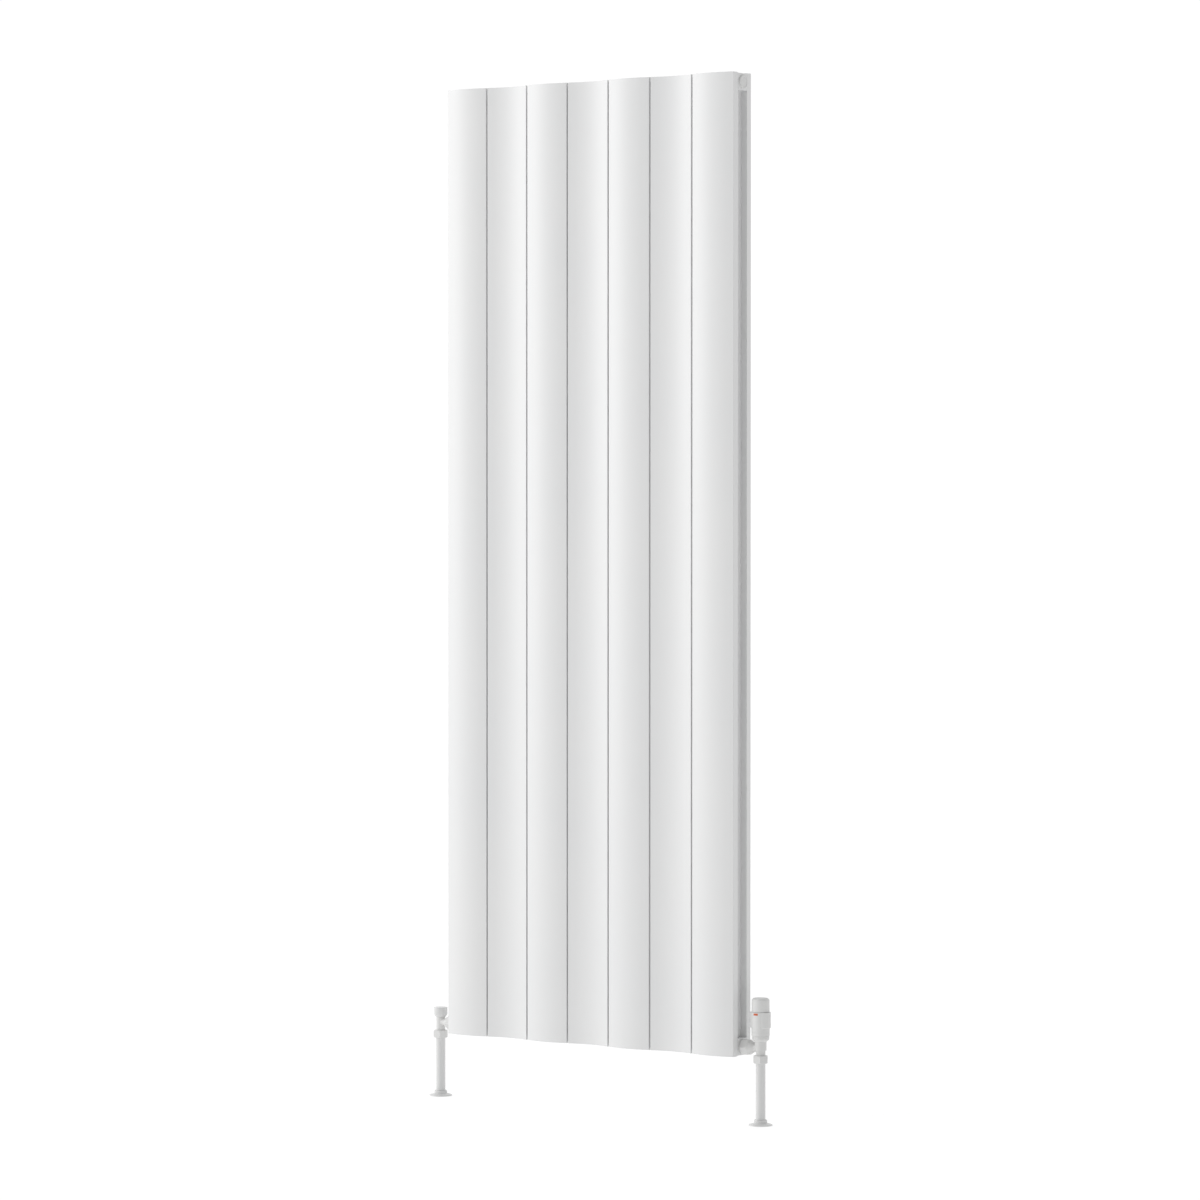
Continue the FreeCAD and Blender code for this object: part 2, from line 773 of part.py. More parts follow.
def floor_collar(label, side):
    """The rosette on the floor: a domed flange and a hub that slides on the sleeve."""
    piece = Piece(label, x=f"{side} * valve_x", y="header_y", z="floor_z")
    piece.turn([
        ("collar_bore / 2", "0"),
        ("collar_diameter / 2", "0"),
        ("collar_diameter / 2", "collar_edge - 1.2", "1.2", 1),
        ("collar_diameter / 2 - 1.2", "collar_edge"),
        ("collar_hub / 2 + 1", "collar_dome", "1", -1),
        ("collar_hub / 2", "collar_dome + 1"),
        ("collar_hub / 2", "collar_height - 1", "1", 1),
        ("collar_hub / 2 - 1", "collar_height"),
        ("collar_bore / 2", "collar_height"),
    ])
    piece.bore([
        ("collar_bore / 2", "-1"),
        ("collar_diameter / 2 - 1.6", "-1"),
        ("collar_diameter / 2 - 1.6", "collar_edge - 1.4"),
        ("collar_hub / 2 - 0.4", "collar_dome - 1.6"),
        ("collar_bore / 2", "collar_dome - 1.6"),
    ])


# ---- Thermostatic valve ----


def thermostatic_body():
    piece = at_valve("valve_body", 1)
    thread_low = "trv_nut_bottom + nut_lip + 4.8"
    piece.turn([
        ("0", thread_low),
        ("compression_thread / 2", thread_low),
        ("compression_thread / 2", "trv_nut_top - 0.2"),
        ("trv_neck / 2", "trv_nut_top - 0.2"),
        ("trv_neck / 2", "trv_shoulder"),
        ("trv_body / 2 - 0.4", "trv_shoulder"),
        ("trv_body / 2", "trv_shoulder + 0.4"),
        ("trv_body / 2", "trv_body_top"),
        ("trv_thread / 2", "trv_flare_top"),
        ("trv_thread / 2", "trv_thread_top"),
        ("0", "trv_thread_top"),
    ])
    body_branch(piece)
    piece.bore([
        ("0", thread_low),
        ("pipe_socket / 2", thread_low),
        ("pipe_socket / 2", f"{thread_low} + socket_depth"),
        ("inlet_bore / 2 - 0.6", f"{thread_low} + socket_depth"),
        ("inlet_bore / 2 - 0.6", "trv_seat_under"),
        ("trv_seat_bore / 2", "trv_seat_under"),
        ("trv_seat_bore / 2", "trv_shoulder"),
        ("trv_chamber / 2", "trv_shoulder"),
        ("trv_chamber / 2", "trv_mouth_floor"),
        ("trv_mouth / 2", "trv_mouth_floor"),
        ("trv_mouth / 2", "trv_thread_top"),
        ("0", "trv_thread_top"),
    ])


def valve_insert():
    """The cartridge that guides the stem, screwed into the mouth of the body."""
    piece = at_valve("valve_insert", 1)
    piece.turn([
        ("stem_bore / 2", "insert_nose"),
        ("trv_chamber / 2 - 0.05", "insert_nose"),
        ("trv_chamber / 2 - 0.05", "trv_mouth_floor"),
        ("trv_mouth / 2 - 0.05", "trv_mouth_floor"),
        ("trv_mouth / 2 - 0.05", "trv_thread_top - 1"),
        ("insert_neck / 2", "trv_thread_top - 1"),
        ("insert_neck / 2", "insert_top - 0.6"),
        ("insert_neck / 2 - 0.6", "insert_top"),
        ("stem_bore / 2", "insert_top"),
    ])


def valve_stem():
    """The stem, with a dished washer that holds the disc."""
    piece = at_valve("valve_stem", 1)
    disc_top = "disc_bottom + disc_thickness"
    piece.turn([
        ("0", disc_top),
        ("disc_diameter / 2 - 1", disc_top),
        ("disc_diameter / 2 - 1", f"{disc_top} + 0.8"),
        ("stem_diameter / 2", f"{disc_top} + 0.8"),
        ("stem_diameter / 2", "stem_top - 0.5"),
        ("stem_diameter / 2 - 0.5", "stem_top"),
        ("0", "stem_top"),
    ])


def valve_disc():
    piece = at_valve("valve_disc", 1)
    piece.turn(rod("disc_diameter", "disc_bottom", "disc_bottom + disc_thickness"))


def lock_ring():
    """The ribbed ring that clamps the head to the valve body."""
    piece = at_valve("head_lock_ring", 1)
    piece.turn([
        ("ring_bore / 2", "ring_bottom"),
        ("ring_bore / 2 + 0.25", "ring_bottom"),
        ("ring_diameter / 2", "ring_chamfer_top"),
        ("ring_diameter / 2", "ring_top - 0.3"),
        ("ring_diameter / 2 - 0.3", "ring_top"),
        ("ring_lip / 2", "ring_top"),
        ("ring_lip / 2", "ring_top - 1.4"),
        ("ring_bore / 2", "ring_top - 1.4"),
    ])
    groove = piece.cut([("ring_diameter / 2 + 0.3", "0", "rib_groove")], "ring_bottom", "ring_top - 0.8")
    piece.repeat_around(groove, "rib_count")


def head_base():
    """The fixed lower shell of the head, with its collar under the lock ring and two side pads."""
    piece = at_valve("head_base", 1)
    outer = "head_diameter / 2"
    hooked = "ring_top - 1.6"
    piece.turn([
        ("insert_neck / 2 + 0.6", "trv_thread_top + 0.2"),
        ("ring_bore / 2 - 0.3", "trv_thread_top + 0.2"),
        ("ring_bore / 2 - 0.3", hooked),
        ("ring_lip / 2 - 0.2", hooked),
        ("ring_lip / 2 - 0.2", "head_bottom"),
        (f"{outer} - 0.6", "head_bottom"),
        (outer, "head_bottom + 0.6"),
        (outer, "head_bottom + head_band"),
        (f"{outer} - head_band_step", "head_bottom + head_band"),
        (f"{outer} - head_band_step", "head_bottom + head_band + 0.6"),
        (outer, "head_bottom + head_band + 0.6 + head_band_step"),
        (outer, "head_seam - 0.3"),
        (f"{outer} - 0.3", "head_seam"),
        ("insert_neck / 2 + 0.6", "head_seam"),
    ])
    pads = [(f"{side} * pad_offset", "0", "2 * pad_radius") for side in (-1, 1)]
    for pad in pads:
        piece.pad([pad], "pad_bottom", "head_seam")
    pad_reach = value("pad_offset") + value("pad_radius")
    pad_low = value("pad_bottom")

    def pad_end(edge):
        box = edge.BoundBox
        level = box.ZLength < 0.01 and abs(box.ZMin - pad_low) < 0.01
        return level and pad_reach - max(box.XMax, -box.XMin) < 0.1

    piece.round_edges("1.2", pad_end)
    piece.bore([
        ("0", "head_bottom + head_floor"),
        ("head_inner", "head_bottom + head_floor"),
        ("head_inner", "head_seam"),
        ("0", "head_seam"),
    ])


def index_mark():
    """A short coloured band on the front of the head base, which the cap is set against."""
    piece = at_valve("index_mark", 1)
    top = "head_seam - index_drop"
    across = rectangle("-index_width / 2", "index_width / 2", f"{top} - index_height", top)
    piece.pad([across], "head_diameter / 2 - 1", "head_diameter / 2 + 2", plane="XZ_Plane")
    low, high = f"{top} - index_height - 1", f"{top} + 1"
    piece.bore(rectangle("head_diameter / 2 + index_relief", "head_diameter", low, high))
    piece.bore(rectangle("0", "head_diameter / 2", low, high))


def head_cap():
    """The turning cap: a rounded cup with a skirt that runs inside the base."""
    piece = at_valve("head_cap", 1)
    outer = "cap_diameter / 2"
    low = "head_seam + seam_gap"
    skirt = "cap_skirt / 2"
    piece.turn([
        (f"{skirt} - skirt_wall", "skirt_bottom"),
        (skirt, "skirt_bottom"),
        (skirt, low),
        (f"{outer} - 0.4", low),
        (outer, f"{low} + 0.4"),
        (outer, "cap_top - cap_round", "cap_round", 1),
        (f"{outer} - cap_round", "cap_top"),
        ("0", "cap_top"),
        ("0", "cap_floor"),
        (f"{skirt} - skirt_wall - cap_round + head_wall", "cap_floor"),
        (f"{skirt} - skirt_wall", "cap_floor - cap_round + head_wall"),
    ])


def head_sensor():
    """The sealed capsule that swells as the room warms, with its guide stud on top."""
    piece = at_valve("head_sensor", 1)
    radius = "sensor_diameter / 2"
    piece.turn([
        ("0", "sensor_bottom"),
        (f"{radius} - 1", "sensor_bottom"),
        (radius, "sensor_bottom + 1"),
        (radius, "sensor_top - 1.5"),
        (f"{radius} - 1.5", "sensor_top"),
        ("4", "sensor_top"),
        ("4", "sensor_top + 7"),
        ("0", "sensor_top + 7"),
    ])


def push_rod():
    piece = at_valve("head_push_rod", 1)
    piece.turn([
        ("0", "stem_top + rod_gap"),
        ("rod_diameter / 2 - 0.4", "stem_top + rod_gap"),
        ("rod_diameter / 2", "stem_top + rod_gap + 0.4"),
        ("rod_diameter / 2", "sensor_bottom"),
        ("0", "sensor_bottom"),
    ])


def springs():
    low = "disc_bottom + disc_thickness + 0.8"
    at_valve("return_spring", 1).coil("return_spring", "spring_wire", low, "insert_nose", 4)
    low = "head_bottom + head_floor"
    at_valve("head_spring", 1).coil("head_spring", "spring_wire + 0.3", low, "sensor_bottom", 4)


# ---- Lockshield valve ----


def lockshield_body():
    piece = at_valve("lockshield_body", -1)
    thread_low = "lock_nut_bottom + nut_lip + 4.8"
    piece.turn([
        ("0", thread_low),
        ("compression_thread / 2", thread_low),
        ("compression_thread / 2", "lock_nut_top - 0.2"),
        ("lock_body / 2", "lock_nut_top - 0.2"),
        ("lock_body / 2", "lock_body_top"),
        ("0", "lock_body_top"),
    ])
    body_branch(piece)
    piece.bore([
        ("0", thread_low),
        ("pipe_socket / 2", thread_low),
        ("pipe_socket / 2", f"{thread_low} + socket_depth - 2"),
        ("inlet_bore / 2 - 0.6", f"{thread_low} + socket_depth - 2"),
        ("inlet_bore / 2 - 0.6", "lock_seat_under"),
        ("lock_seat_bore / 2", "lock_seat_under"),
        ("lock_seat_bore / 2", "lock_seat_top"),
        ("lock_chamber / 2", "lock_seat_top"),
        ("lock_chamber / 2", "lock_body_top"),
        ("0", "lock_body_top"),
    ])


def gland():
    """The plug of the lockshield's mouth: a threaded stub, a flange that grips the cap, a seal groove."""
    piece = at_valve("lockshield_gland", -1)
    piece.turn([
        ("spindle_bore / 2", "gland_bottom"),
        ("lock_chamber / 2 - 0.05", "gland_bottom"),
        ("lock_chamber / 2 - 0.05", "lock_body_top"),
        ("gland_flange / 2", "lock_body_top"),
        ("gland_flange / 2", "gland_top - 0.6"),
        ("gland_flange / 2 - 0.6", "gland_top"),
        ("spindle_bore / 2", "gland_top"),
        ("spindle_bore / 2", "gland_top - 1.4"),
        ("spindle_bore / 2 + 1.8", "gland_top - 1.4"),
        ("spindle_bore / 2 + 1.8", "gland_top - 3.4"),
        ("spindle_bore / 2", "gland_top - 3.4"),
    ])


def spindle_seal():
    piece = at_valve("lockshield_seal", -1)
    piece.turn([
        ("spindle_bore / 2", "gland_top - 3.2"),
        ("spindle_bore / 2 + 1.6", "gland_top - 3.2"),
        ("spindle_bore / 2 + 1.6", "gland_top - 1.6"),
        ("spindle_bore / 2", "gland_top - 1.6"),
    ])


def spindle():
    piece = at_valve("lockshield_spindle", -1)
    piece.turn(rod("spindle_diameter", "spindle_bottom", "gland_top + 1.5"))
    piece.pad([centred("spindle_square", "spindle_square")], "gland_top + 1.5", "spindle_top")


def regulating_plug():
    piece = at_valve("lockshield_plug", -1)
    piece.turn([
        ("0", "plug_low"),
        ("plug_tip / 2", "plug_low"),
        ("plug_body / 2", "plug_shoulder"),
        ("plug_body / 2", "plug_top"),
        ("plug_hole / 2", "plug_top"),
        ("plug_hole / 2", "0.5"),
        ("0", "0.5"),
    ])


def lockshield_cap():
    """The push-on cap: a tapered mouth that grips the gland, and a plain cylinder over the spindle."""
    piece = at_valve("lockshield_cap", -1)
    piece.turn([
        ("lock_cap_grip / 2", "lock_cap_bottom"),
        ("lock_cap_mouth / 2", "lock_cap_bottom"),
        ("lock_cap_diameter / 2", "lock_cap_taper"),
        ("lock_cap_diameter / 2", "lock_cap_top - 1.2", "1.2", 1),
        ("lock_cap_diameter / 2 - 1.2", "lock_cap_top"),
        ("0", "lock_cap_top"),
        ("0", "lock_cap_top - 2"),
        ("lock_cap_bore / 2", "lock_cap_top - 2"),
        ("lock_cap_bore / 2", "lock_cap_taper + 1"),
        ("lock_cap_grip / 2", "lock_cap_taper"),
    ])


def build():
    for number in range(1, SECTION_COUNT + 1):
        section(number)
    header("header_top", "top_header_z", ports_up=False)
    header("header_bottom", "low_header_z", ports_up=True)
    for level, height in (("top", "top_header_z"), ("bottom", "low_header_z")):
        end_boss(f"boss_{level}_left", -1, height)
        end_boss(f"boss_{level}_right", 1, height)
    blank_plug()
    plug_cover()
    plug_seal("blank_plug_seal", 1, "top_header_z")
    vent_plug()
    plug_seal("vent_plug_seal", -1, "top_header_z")
    bleed_screw()

    for level, step in (("top", 1), ("bottom", -1)):
        bracket(f"bracket_{level}_left", -1, step)
        bracket(f"bracket_{level}_right", 1, step)
    bracket_bolts()
    bracket_nuts()

    for prefix, side, low, high in (
        ("valve", 1, "trv_nut_bottom", "trv_nut_top"),
        ("lockshield", -1, "lock_nut_bottom", "lock_nut_top"),
    ):
        tailpiece(f"{prefix}_tailpiece", side)
        plug_seal(f"{prefix}_tail_seal", side, "low_header_z")
        union_nut(f"{prefix}_union_nut", side)
        compression_nut(f"{prefix}_compression_nut", side, low, high)
        olive(f"{prefix}_olive", side, low)
    for place, side, low in (("right", 1, "trv_nut_bottom"), ("left", -1, "lock_nut_bottom")):
        pipe(f"pipe_{place}", side, f"{low} + nut_lip + 4.8 + socket_depth - 2.5")
        pipe_sleeve(f"pipe_sleeve_{place}", side, low)
        floor_collar(f"floor_collar_{place}", side)

    thermostatic_body()
    valve_insert()
    valve_stem()
    valve_disc()
    lock_ring()
    head_base()
    index_mark()
    head_cap()
    head_sensor()
    push_rod()
    springs()

    lockshield_body()
    gland()
    spindle_seal()
    spindle()
    regulating_plug()
    lockshield_cap()


def check():
    """Stop if any object failed to compute or any sub-part is not a valid solid."""
    doc.recompute()
    for item in doc.Objects:
        if {"Invalid", "Error"} & set(item.State):
            raise RuntimeError(f"{item.Label} ({item.Name}) did not compute: {item.State}")
    for body in pieces:
        shape = body.Shape
        if shape.isNull() or not shape.isValid() or shape.Volume <= 0:
            raise RuntimeError(body.Label + " is not a valid solid")


def write():
    os.makedirs("parts", exist_ok=True)
    for body in pieces:
        body.Shape.exportStep(f"parts/{body.Label}.step")
        print(f"{body.Label}: {body.Shape.Volume:.0f} mm3, {len(body.Shape.Solids)} solid(s)")


build()
check()
write()
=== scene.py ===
"""Tall column radiator with its valves: finishes, fine details, floor, light and view."""
import json
from math import radians

import bmesh
import bpy
from mathutils import Matrix, Vector


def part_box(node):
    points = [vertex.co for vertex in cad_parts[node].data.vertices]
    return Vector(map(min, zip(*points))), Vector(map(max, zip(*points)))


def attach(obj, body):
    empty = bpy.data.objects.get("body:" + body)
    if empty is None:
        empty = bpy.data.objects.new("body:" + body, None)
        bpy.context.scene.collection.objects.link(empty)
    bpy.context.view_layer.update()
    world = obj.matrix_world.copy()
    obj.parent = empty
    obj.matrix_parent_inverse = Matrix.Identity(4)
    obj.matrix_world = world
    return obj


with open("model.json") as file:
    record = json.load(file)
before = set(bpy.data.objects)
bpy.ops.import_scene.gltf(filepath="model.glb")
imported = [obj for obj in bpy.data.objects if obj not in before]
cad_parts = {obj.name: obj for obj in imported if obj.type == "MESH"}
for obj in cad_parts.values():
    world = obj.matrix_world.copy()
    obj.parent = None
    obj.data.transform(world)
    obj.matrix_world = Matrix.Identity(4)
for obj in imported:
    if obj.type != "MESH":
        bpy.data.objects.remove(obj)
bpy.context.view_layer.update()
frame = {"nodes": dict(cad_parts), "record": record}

FLOOR_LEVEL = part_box("floor_collar_right")[0][2]
FLOOR_REACH = 60.0
FLOOR_GLOW = 0.74

# rounding of the metal parts
BOLT_EDGE = 0.0002
NUT_EDGE = 0.0003
SKIN_GAP = 0.000002
SHARP_ANGLE = radians(28)

# ticks round the foot of the head cap
TICK_STEPS = 6
TICK_ANGLE = radians(25)
TICK_WIDTH = 0.0008
TICK_DEPTH = 0.0010
TICK_SUNK = 0.0003
LONG_TICK = 0.0036
SHORT_TICK = 0.0024
TICK_ABOVE_BASE = 0.0014
TICK_EDGE = 0.00018

# light
BRIGHT_SIDE = (-0.85, 0.53, 0.0)
DARKEST = 0.42
BRIGHTEST = 1.02
LAMP_PLACE = (-5.2, -3.4, 1.4)
LAMP_AIM = Vector((0.0, -0.06, 0.1))
LAMP_POWER = 125
LAMP_WIDTH = 3.0
LAMP_HEIGHT = 3.6

# view
CAMERA_PLACE = (5.0977, -7.0628, 0.0968)
CAMERA_TURN = (radians(88.9125), 0, radians(36.0113))
CAMERA_LENS = 138.756
CAMERA_SENSOR = 36
CAMERA_REACH = 60


class Link:
    """An output of a node, which takes part in sums as a number does."""

    def __init__(self, finish, socket):
        self.finish = finish
        self.socket = socket

    def worked(self, operation, first, second):
        return self.finish.add("ShaderNodeMath", {"operation": operation}, {0: first, 1: second})

    def __add__(self, other):
        return self.worked("ADD", self, other)

    def __radd__(self, other):
        return self.worked("ADD", other, self)

    def __sub__(self, other):
        return self.worked("SUBTRACT", self, other)

    def __rsub__(self, other):
        return self.worked("SUBTRACT", other, self)

    def __mul__(self, other):
        return self.worked("MULTIPLY", self, other)

    def __rmul__(self, other):
        return self.worked("MULTIPLY", other, self)


class Finish:
    """A tree of nodes with the one way to add a node to it."""

    def __init__(self, tree):
        self.tree = tree
        tree.nodes.clear()

    def add(self, kind, settings=None, inputs=None, output=0):
        """A node of that type: its settings first, then its sockets, and one of its outputs back."""
        node = self.tree.nodes.new(kind)
        for name, setting in (settings or {}).items():
            setattr(node, name, setting)
        for name, value in (inputs or {}).items():
            if isinstance(value, Link):
                self.tree.links.new(value.socket, node.inputs[name])
            else:
                node.inputs[name].default_value = value
        return Link(self, node.outputs[output] if node.outputs else None)

    def place(self):
        """Where a point is on the piece, in metres."""
        return self.add("ShaderNodeTexCoord", output="Object")

    def stretched(self, scale):
        return self.add("ShaderNodeMapping", {}, {"Vector": self.place(), "Scale": scale})

    def mottle(self, per_metre, detail=2.0, stretch=None):
        """A soft cloudy pattern from 0 to 1."""
        where = self.stretched(stretch) if stretch else self.place()
        return self.add(
            "ShaderNodeTexNoise", {}, {"Vector": where, "Scale": per_metre, "Detail": detail}
        )

    def steepened(self, value, low, high, to_low=0.0, to_high=1.0):
        return self.add(
            "ShaderNodeMapRange",
            {"interpolation_type": "SMOOTHSTEP"},
            {"Value": value, "From Min": low, "From Max": high, "To Min": to_low, "To Max": to_high},
        )

    def blended(self, share, first, second):
        """A colour between two colours."""
        first, second = ((*c, 1) if isinstance(c, tuple) else c for c in (first, second))
        return self.add(
            "ShaderNodeMix", {"data_type": "RGBA"}, {0: share, 6: first, 7: second}, 2
        )

    def edges(self, radius):
        """1 along edges, 0 on the faces between them."""
        rounded = self.add("ShaderNodeBevel", {"samples": 4}, {"Radius": radius})
        true = self.add("ShaderNodeNewGeometry", output="Normal")
        turned = self.add(
            "ShaderNodeVectorMath", {"operation": "DOT_PRODUCT"}, {0: rounded, 1: true}, "Value"
        )
        return self.steepened(1 - turned, 0.01, 0.2)

    def relief(self, height, depth):
        """The normal of a surface whose relief is that deep, in metres."""
        return self.add("ShaderNodeBump", {}, {"Height": height, "Distance": depth, "Strength": 1.0})


def surface(colour, roughness, normal, **constants):
    """Ends a finish: what varies goes in as links, and what is the same all over as values."""
    finish = colour.finish
    inputs = {"Base Color": colour, "Roughness": roughness, "Normal": normal, **constants}
    shader = finish.add("ShaderNodeBsdfPrincipled", {}, inputs)
    finish.add("ShaderNodeOutputMaterial", {}, {"Surface": shader})


def new_finish(name):
    material = bpy.data.materials.new(name)
    material.use_nodes = True
    return material, Finish(material.node_tree)


def powder_coat():
    """Satin white powder coat: orange peel about a millimetre across, and a slow drift of tone."""
    material, finish = new_finish("powder_coat")
    peel = finish.mottle(480, 1.0)
    grain = finish.mottle(2400, 1.0)
    drift = finish.mottle(5, 3.0)
    thin = finish.edges(0.0012) * finish.steepened(finish.mottle(160, 3.0), 0.40, 0.65)
    tone = finish.blended(drift, (0.770, 0.775, 0.780), (0.800, 0.800, 0.796))
    colour = finish.blended(0.3 * thin, tone, (0.66, 0.66, 0.65))
    roughness = 0.32 + 0.08 * drift + 0.16 * peel
    normal = finish.relief(0.8 * peel + 0.2 * grain, 0.00012)
    surface(colour, roughness, normal)
    return material


def valve_paint():
    """White enamel over cast and turned brass, thinner and greyer along the edges."""
    material, finish = new_finish("valve_paint")
    cast = finish.mottle(900, 3.0)
    drift = finish.mottle(60, 2.0)
    edge_wear_and_highlight = finish.edges(0.0004) * finish.steepened(finish.mottle(500, 3.0), 0.35, 0.65)
    tone = finish.blended(drift, (0.700, 0.700, 0.695), (0.735, 0.735, 0.725))
    colour = finish.blended(0.35 * edge_wear_and_highlight, tone, (0.55, 0.54, 0.50))
    roughness = 0.24 + 0.12 * drift + 0.08 * cast
    surface(colour, roughness, finish.relief(cast, 0.00004))
    return material


def head_plastic():
    """Moulded white plastic with a fine spark-eroded grain, smoother along rubbed edges, where its colour
    is painted lighter as a highlight.
    """
    material, finish = new_finish("head_plastic")
    grain = finish.mottle(2600, 2.0)
    coarse = finish.mottle(900, 1.0)
    drift = finish.mottle(35, 2.0)
    rubbed_and_highlit_edge = finish.edges(0.0005)
    tone = finish.blended(drift, (0.705, 0.710, 0.705), (0.735, 0.735, 0.725))
    # painted highlight: the edges are painted lighter than the plastic, and the lower roughness there is
    # the real polish of rubbing
    colour = finish.blended(0.3 * rubbed_and_highlit_edge, tone, (0.80, 0.80, 0.79))
    roughness = 0.40 + 0.12 * grain + 0.06 * drift - 0.12 * rubbed_and_highlit_edge
    normal = finish.relief(0.6 * grain + 0.4 * coarse, 0.00003)
    surface(colour, roughness, normal)
    return material


def trim_plastic():
    """Glossy white plastic tube and trim, with faint lines along its length."""
    material, finish = new_finish("trim_plastic")
    drawn = finish.mottle(700, 2.0, (1, 1, 0.02))
    cloud = finish.mottle(45, 2.0)
    scuff = finish.steepened(finish.mottle(260, 4.0, (1, 1, 0.3)), 0.62, 0.75)
    tone = finish.blended(cloud, (0.700, 0.705, 0.705), (0.730, 0.730, 0.725))
    colour = finish.blended(0.2 * scuff, tone, (0.61, 0.61, 0.60))
    roughness = 0.20 + 0.10 * cloud + 0.22 * scuff
    surface(colour, roughness, finish.relief(drawn, 0.00003))
    return material


def index_orange():
    """Orange print, a little uneven in its cover."""
    material, finish = new_finish("index_orange")
    cover = finish.mottle(1800, 3.0)
    colour = finish.blended(cover, (0.56, 0.105, 0.035), (0.66, 0.150, 0.055))
    roughness = 0.32 + 0.15 * cover
    surface(colour, roughness, finish.relief(cover, 0.00002))
    return material


def zinc_steel():
    """Zinc plate over pressed steel: faint crystals, rolling lines, dull handled patches and lighter
    edges, partly worn and partly a painted highlight.
    """
    material, finish = new_finish("zinc_steel")
    crystals = finish.add(
        "ShaderNodeTexVoronoi", {}, {"Vector": finish.place(), "Scale": 260.0}, "Color"
    )
    rolled = finish.mottle(900, 3.0, (1, 1, 0.05))
    dull = finish.mottle(40, 4.0)
    edge_wear_and_highlight = finish.edges(0.0005)
    crystal = finish.add("ShaderNodeSeparateColor", {}, {"Color": crystals})
    tone = finish.blended(0.5 * crystal + 0.5 * dull, (0.50, 0.51, 0.52), (0.68, 0.69, 0.71))
    # edges painted lighter: partly real wear through the zinc, partly a painted highlight
    colour = finish.blended(0.6 * edge_wear_and_highlight, tone, (0.80, 0.80, 0.81))
    roughness = 0.26 + 0.18 * dull + 0.10 * crystal
    surface(colour, roughness, finish.relief(rolled, 0.00003), Metallic=1.0)
    return material


def spring_steel():
    """Drawn spring wire with an oiled, slightly blue skin."""
    material, finish = new_finish("spring_steel")
    drawn = finish.mottle(1500, 3.0)
    oil = finish.mottle(120, 3.0)
    colour = finish.blended(oil, (0.33, 0.34, 0.37), (0.50, 0.50, 0.51))
    roughness = 0.22 + 0.20 * drawn
    surface(colour, roughness, finish.relief(drawn, 0.00002), Metallic=1.0)
    return material


def brass():
    """Turned brass: fine tool rings, patches of dull tarnish and bright edges, partly worn and partly a
    painted highlight.
    """
    material, finish = new_finish("brass")
    rings = finish.mottle(2500, 1.0, (0.05, 0.05, 1))
    tarnish = finish.steepened(finish.mottle(90, 5.0), 0.40, 0.70)
    edge_wear_and_highlight = finish.edges(0.0004)
    tone = finish.blended(0.7 * tarnish, (0.80, 0.58, 0.29), (0.47, 0.31, 0.14))
    # edges painted lighter than clean brass: partly real wear through the tarnish, partly a painted
    # highlight
    colour = finish.blended(0.6 * edge_wear_and_highlight, tone, (0.90, 0.70, 0.40))
    roughness = 0.20 + 0.25 * tarnish + 0.08 * rings
    surface(colour, roughness, finish.relief(rings, 0.00003), Metallic=1.0)
    return material


def copper():
    """Half-hard copper tube with drawing lines and brown tarnish."""
    material, finish = new_finish("copper")
    drawn = finish.mottle(1200, 2.0, (1, 1, 0.02))
    tarnish = finish.steepened(finish.mottle(55, 5.0), 0.38, 0.68)
    colour = finish.blended(tarnish, (0.83, 0.44, 0.30), (0.42, 0.19, 0.11))
    roughness = 0.18 + 0.30 * tarnish
    surface(colour, roughness, finish.relief(drawn, 0.00002), Metallic=1.0)
    return material


def seal_rubber():
    """Black rubber with a grey bloom."""
    material, finish = new_finish("seal_rubber")
    bloom = finish.mottle(300, 4.0)
    grain = finish.mottle(2200, 2.0)
    colour = finish.blended(bloom, (0.018, 0.018, 0.019), (0.050, 0.050, 0.052))
    roughness = 0.50 + 0.30 * bloom
    surface(colour, roughness, finish.relief(grain, 0.00003))
    return material


def seal_white():
    """Milky fibre washer, waxy to the touch."""
    material, finish = new_finish("seal_white")
    fibre = finish.mottle(1400, 4.0)
    cloud = finish.mottle(150, 3.0)
    colour = finish.blended(cloud, (0.66, 0.65, 0.61), (0.76, 0.76, 0.73))
    roughness = 0.42 + 0.22 * fibre
    surface(colour, roughness, finish.relief(fibre, 0.00003))
    return material


def floor_paint():
    """Pale matt floor that nearly vanishes in the light."""
    material, finish = new_finish("floor_paint")
    cloud = finish.mottle(2.5, 3.0)
    colour = finish.blended(cloud, (0.27, 0.27, 0.27), (0.29, 0.29, 0.29))
    roughness = 0.75 + 0.1 * cloud
    normal = finish.relief(finish.mottle(400, 2.0), 0.00005)
    glow = {"Emission Color": (1.0, 1.0, 1.0, 1.0), "Emission Strength": FLOOR_GLOW}
    surface(colour, roughness, normal, **glow)
    return material


FINISHES = {
    "powder_coat": powder_coat(),
    "valve_paint": valve_paint(),
    "head_plastic": head_plastic(),
    "trim_plastic": trim_plastic(),
    "index_orange": index_orange(),
    "zinc_steel": zinc_steel(),
    "spring_steel": spring_steel(),
    "brass": brass(),
    "copper": copper(),
    "seal_rubber": seal_rubber(),
    "seal_white": seal_white(),
}


def finish_parts():
    """Every part of the frame takes the finish of its own slot."""
    for part in frame["record"]["subparts"]:
        mesh = frame["nodes"][part["node"]].data
        mesh.materials.clear()
        mesh.materials.append(FINISHES[part["material_slot"]])


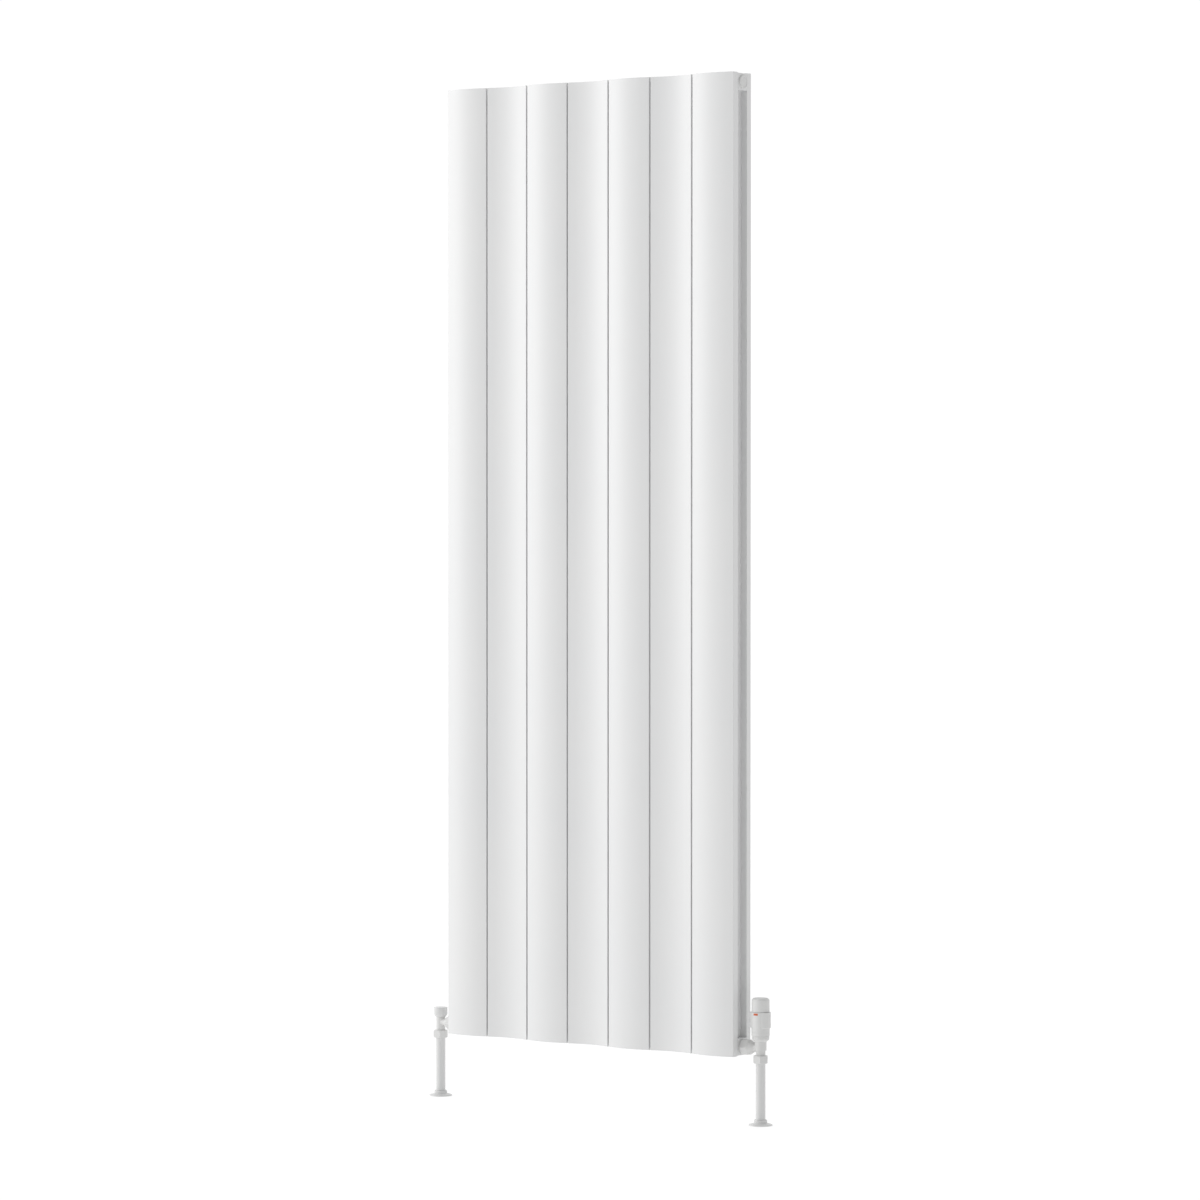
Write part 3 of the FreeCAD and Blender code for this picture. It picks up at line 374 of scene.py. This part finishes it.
def soften_edges():
    """Nuts, bolts and spindles lose their knife edges."""
    broken = {
        "bracket_nuts": BOLT_EDGE,
        "bracket_bolts": BOLT_EDGE,
        "bleed_screw": BOLT_EDGE,
        "valve_union_nut": NUT_EDGE,
        "lockshield_union_nut": NUT_EDGE,
        "valve_compression_nut": NUT_EDGE,
        "lockshield_compression_nut": NUT_EDGE,
        "lockshield_spindle": BOLT_EDGE,
    }
    for name, width in broken.items():
        part = frame["nodes"][name]
        weld = part.modifiers.new("one_skin", "WELD")
        weld.merge_threshold = SKIN_GAP
        bevel = part.modifiers.new("broken_edges", "BEVEL")
        bevel.width = width
        bevel.segments = 2
        bevel.limit_method = "ANGLE"
        bevel.angle_limit = SHARP_ANGLE
        bevel.use_clamp_overlap = True
        part.modifiers.new("even_shading", "WEIGHTED_NORMAL").keep_sharp = False


def cap_ticks():
    """Moulded ticks round the foot of the head cap, longer at both ends of its turn and at its middle."""
    low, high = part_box("head_cap")
    middle = (Vector(low) + Vector(high)) / 2
    radius = (high[0] - low[0]) / 2
    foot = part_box("head_base")[1][2] + TICK_ABOVE_BASE
    bars = bmesh.new()
    for step in range(-TICK_STEPS, TICK_STEPS + 1):
        length = LONG_TICK if step in (-TICK_STEPS, 0, TICK_STEPS) else SHORT_TICK
        bar = bmesh.ops.create_cube(bars)["verts"]
        size = Matrix.Diagonal((TICK_WIDTH, TICK_DEPTH, length, 1))
        place = Matrix.Translation((0, TICK_SUNK - radius, foot + length / 2))
        turn = Matrix.Rotation(TICK_ANGLE * step, 4, "Z")
        bmesh.ops.transform(bars, matrix=turn @ place @ size, verts=bar)
    bmesh.ops.translate(bars, vec=(middle.x, middle.y, 0), verts=bars.verts)
    mesh = bpy.data.meshes.new("cap_ticks")
    bars.to_mesh(mesh)
    bars.free()
    mesh.materials.append(FINISHES["head_plastic"])
    ticks = bpy.data.objects.new("cap_ticks", mesh)
    bpy.context.collection.objects.link(ticks)
    rounded = ticks.modifiers.new("rounded", "BEVEL")
    rounded.width = TICK_EDGE
    rounded.segments = 3
    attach(ticks, "head_cap")


def lay_floor():
    """A wide floor at the level of the collars' undersides."""
    mesh = bpy.data.meshes.new("floor")
    low, high = -FLOOR_REACH, FLOOR_REACH
    corners = [(low, low), (high, low), (high, high), (low, high)]
    mesh.from_pydata([(x, y, FLOOR_LEVEL) for x, y in corners], [], [(0, 1, 2, 3)])
    mesh.materials.append(floor_paint())
    floor = bpy.data.objects.new("floor", mesh)
    bpy.context.collection.objects.link(floor)


def light_studio():
    """Pale surroundings, brightest on the left, and one broad soft lamp on that side."""
    world = bpy.data.worlds.new("studio")
    bpy.context.scene.world = world
    world.use_nodes = True
    finish = Finish(world.node_tree)
    direction = finish.add("ShaderNodeTexCoord", output="Generated")
    behind = finish.add(
        "ShaderNodeVectorMath",
        {"operation": "DOT_PRODUCT"},
        {0: direction, 1: BRIGHT_SIDE},
        "Value",
    )
    strength = finish.steepened(behind, -0.9, 0.6, DARKEST, BRIGHTEST)
    sky = finish.add("ShaderNodeBackground", {}, {"Color": (1, 1, 1, 1), "Strength": strength})
    finish.add("ShaderNodeOutputWorld", {}, {"Surface": sky})
    lamp = bpy.data.lights.new("left_lamp", "AREA")
    lamp.shape = "RECTANGLE"
    lamp.size = LAMP_WIDTH
    lamp.size_y = LAMP_HEIGHT
    lamp.energy = LAMP_POWER
    holder = bpy.data.objects.new("left_lamp", lamp)
    holder.location = LAMP_PLACE
    aim = LAMP_AIM - holder.location
    holder.rotation_euler = aim.to_track_quat("-Z", "Y").to_euler()
    bpy.context.collection.objects.link(holder)


def place_camera():
    """A long lens, tipped a degree down, from the right of the front."""
    lens = bpy.data.cameras.new("camera")
    lens.lens = CAMERA_LENS
    lens.sensor_width = CAMERA_SENSOR
    lens.clip_end = CAMERA_REACH
    camera = bpy.data.objects.new("camera", lens)
    camera.location = CAMERA_PLACE
    camera.rotation_euler = CAMERA_TURN
    bpy.context.collection.objects.link(camera)
    bpy.context.scene.camera = camera


finish_parts()
soften_edges()
cap_ticks()
lay_floor()
light_studio()
place_camera()
bpy.context.scene.view_settings.view_transform = "Standard"
